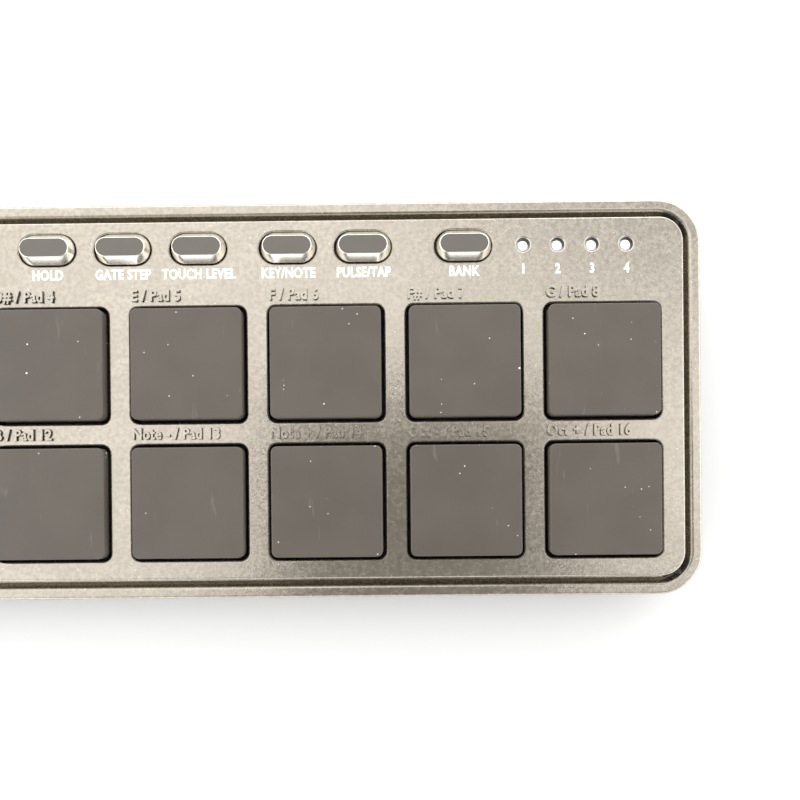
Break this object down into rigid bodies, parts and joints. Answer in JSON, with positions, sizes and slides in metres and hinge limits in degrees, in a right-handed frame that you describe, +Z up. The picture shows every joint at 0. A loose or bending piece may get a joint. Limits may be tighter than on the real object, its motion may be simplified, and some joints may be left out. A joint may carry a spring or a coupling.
{
  "type": "pad controller",
  "caption": "Slim flat desktop pad controller for music: rubber trigger pads in two rows, a touch pad, pill-shaped push buttons and small indicator lights in a raised deck.",
  "frame": {"origin": "on the table, below the middle of the case", "axes": "+X to the player's right along the case, +Y to the rear edge with the socket, +Z up"},
  "size_m": [0.325, 0.083, 0.016],
  "materials": {
    "case_paint": "satin",
    "base_plastic": "matte",
    "pad_silicone": "satin",
    "button_plastic": "satin",
    "plunger_plastic": "matte",
    "touch_film": "satin",
    "foot_rubber": "matte",
    "label_film": "satin",
    "screw_steel": "satin",
    "socket_steel": "satin",
    "contact_gold": "polished",
    "board_green": "satin",
    "component_black": "matte",
    "connector_ivory": "matte",
    "sensor_film": "satin",
    "ribbon_film": "satin",
    "clear_guide": "satin",
    "led_white": "satin"
  },
  "bodies": {
    "housing": {"upper_case": "case_paint", "lower_case": "base_plastic", "rubber_feet": "foot_rubber", "rating_label": "label_film", "case_screws": "screw_steel", "board_screws": "screw_steel", "pad_web": "pad_silicone", "pad_skirts": "pad_silicone", "pad_sensor_sheet": "sensor_film", "tact_switches": "component_black", "touch_overlay": "touch_film", "touch_board": "board_green", "touch_flex": "ribbon_film", "flex_connectors": "connector_ivory", "main_board": "board_green", "light_guide": "clear_guide", "led_lamps": "led_white", "usb_shell": "socket_steel", "usb_tongue": "component_black", "usb_contacts": "contact_gold", "controller_chip": "component_black", "board_components": "component_black"},
    "pad_01": {"pad_01": "pad_silicone"},
    "pad_02": {"pad_02": "pad_silicone"},
    "pad_03": {"pad_03": "pad_silicone"},
    "pad_04": {"pad_04": "pad_silicone"},
    "pad_05": {"pad_05": "pad_silicone"},
    "pad_06": {"pad_06": "pad_silicone"},
    "pad_07": {"pad_07": "pad_silicone"},
    "pad_08": {"pad_08": "pad_silicone"},
    "pad_09": {"pad_09": "pad_silicone"},
    "pad_10": {"pad_10": "pad_silicone"},
    "pad_11": {"pad_11": "pad_silicone"},
    "pad_12": {"pad_12": "pad_silicone"},
    "pad_13": {"pad_13": "pad_silicone"},
    "pad_14": {"pad_14": "pad_silicone"},
    "pad_15": {"pad_15": "pad_silicone"},
    "pad_16": {"pad_16": "pad_silicone"},
    "hold_button": {"hold_button": "button_plastic", "hold_plunger": "plunger_plastic"},
    "gate_button": {"gate_button": "button_plastic", "gate_plunger": "plunger_plastic"},
    "touch_button": {"touch_button": "button_plastic", "touch_plunger": "plunger_plastic"},
    "key_button": {"key_button": "button_plastic", "key_plunger": "plunger_plastic"},
    "tap_button": {"tap_button": "button_plastic", "tap_plunger": "plunger_plastic"},
    "bank_button": {"bank_button": "button_plastic", "bank_plunger": "plunger_plastic"}
  },
  "joints": [
    {"name": "pad_01_press", "type": "slide", "parent": "housing", "child": "pad_01", "axis": [0, 0, -1], "range_m": [0, 0.00075], "stiffness_N_per_m": 1500, "springref_m": -0.0003, "deforming": ["pad_skirts"]},
    {"name": "pad_02_press", "type": "slide", "parent": "housing", "child": "pad_02", "axis": [0, 0, -1], "range_m": [0, 0.00075], "stiffness_N_per_m": 1500, "springref_m": -0.0003, "deforming": ["pad_skirts"]},
    {"name": "pad_03_press", "type": "slide", "parent": "housing", "child": "pad_03", "axis": [0, 0, -1], "range_m": [0, 0.00075], "stiffness_N_per_m": 1500, "springref_m": -0.0003, "deforming": ["pad_skirts"]},
    {"name": "pad_04_press", "type": "slide", "parent": "housing", "child": "pad_04", "axis": [0, 0, -1], "range_m": [0, 0.00075], "stiffness_N_per_m": 1500, "springref_m": -0.0003, "deforming": ["pad_skirts"]},
    {"name": "pad_05_press", "type": "slide", "parent": "housing", "child": "pad_05", "axis": [0, 0, -1], "range_m": [0, 0.00075], "stiffness_N_per_m": 1500, "springref_m": -0.0003, "deforming": ["pad_skirts"]},
    {"name": "pad_06_press", "type": "slide", "parent": "housing", "child": "pad_06", "axis": [0, 0, -1], "range_m": [0, 0.00075], "stiffness_N_per_m": 1500, "springref_m": -0.0003, "deforming": ["pad_skirts"]},
    {"name": "pad_07_press", "type": "slide", "parent": "housing", "child": "pad_07", "axis": [0, 0, -1], "range_m": [0, 0.00075], "stiffness_N_per_m": 1500, "springref_m": -0.0003, "deforming": ["pad_skirts"]},
    {"name": "pad_08_press", "type": "slide", "parent": "housing", "child": "pad_08", "axis": [0, 0, -1], "range_m": [0, 0.00075], "stiffness_N_per_m": 1500, "springref_m": -0.0003, "deforming": ["pad_skirts"]},
    {"name": "pad_09_press", "type": "slide", "parent": "housing", "child": "pad_09", "axis": [0, 0, -1], "range_m": [0, 0.00075], "stiffness_N_per_m": 1500, "springref_m": -0.0003, "deforming": ["pad_skirts"]},
    {"name": "pad_10_press", "type": "slide", "parent": "housing", "child": "pad_10", "axis": [0, 0, -1], "range_m": [0, 0.00075], "stiffness_N_per_m": 1500, "springref_m": -0.0003, "deforming": ["pad_skirts"]},
    {"name": "pad_11_press", "type": "slide", "parent": "housing", "child": "pad_11", "axis": [0, 0, -1], "range_m": [0, 0.00075], "stiffness_N_per_m": 1500, "springref_m": -0.0003, "deforming": ["pad_skirts"]},
    {"name": "pad_12_press", "type": "slide", "parent": "housing", "child": "pad_12", "axis": [0, 0, -1], "range_m": [0, 0.00075], "stiffness_N_per_m": 1500, "springref_m": -0.0003, "deforming": ["pad_skirts"]},
    {"name": "pad_13_press", "type": "slide", "parent": "housing", "child": "pad_13", "axis": [0, 0, -1], "range_m": [0, 0.00075], "stiffness_N_per_m": 1500, "springref_m": -0.0003, "deforming": ["pad_skirts"]},
    {"name": "pad_14_press", "type": "slide", "parent": "housing", "child": "pad_14", "axis": [0, 0, -1], "range_m": [0, 0.00075], "stiffness_N_per_m": 1500, "springref_m": -0.0003, "deforming": ["pad_skirts"]},
    {"name": "pad_15_press", "type": "slide", "parent": "housing", "child": "pad_15", "axis": [0, 0, -1], "range_m": [0, 0.00075], "stiffness_N_per_m": 1500, "springref_m": -0.0003, "deforming": ["pad_skirts"]},
    {"name": "pad_16_press", "type": "slide", "parent": "housing", "child": "pad_16", "axis": [0, 0, -1], "range_m": [0, 0.00075], "stiffness_N_per_m": 1500, "springref_m": -0.0003, "deforming": ["pad_skirts"]},
    {"name": "hold_press", "type": "slide", "parent": "housing", "child": "hold_button", "axis": [0, 0, -1], "range_m": [0, 0.0004], "stiffness_N_per_m": 800, "springref_m": -0.0002},
    {"name": "gate_press", "type": "slide", "parent": "housing", "child": "gate_button", "axis": [0, 0, -1], "range_m": [0, 0.0004], "stiffness_N_per_m": 800, "springref_m": -0.0002},
    {"name": "touch_press", "type": "slide", "parent": "housing", "child": "touch_button", "axis": [0, 0, -1], "range_m": [0, 0.0004], "stiffness_N_per_m": 800, "springref_m": -0.0002},
    {"name": "key_press", "type": "slide", "parent": "housing", "child": "key_button", "axis": [0, 0, -1], "range_m": [0, 0.0004], "stiffness_N_per_m": 800, "springref_m": -0.0002},
    {"name": "tap_press", "type": "slide", "parent": "housing", "child": "tap_button", "axis": [0, 0, -1], "range_m": [0, 0.0004], "stiffness_N_per_m": 800, "springref_m": -0.0002},
    {"name": "bank_press", "type": "slide", "parent": "housing", "child": "bank_button", "axis": [0, 0, -1], "range_m": [0, 0.0004], "stiffness_N_per_m": 800, "springref_m": -0.0002}
  ]
}
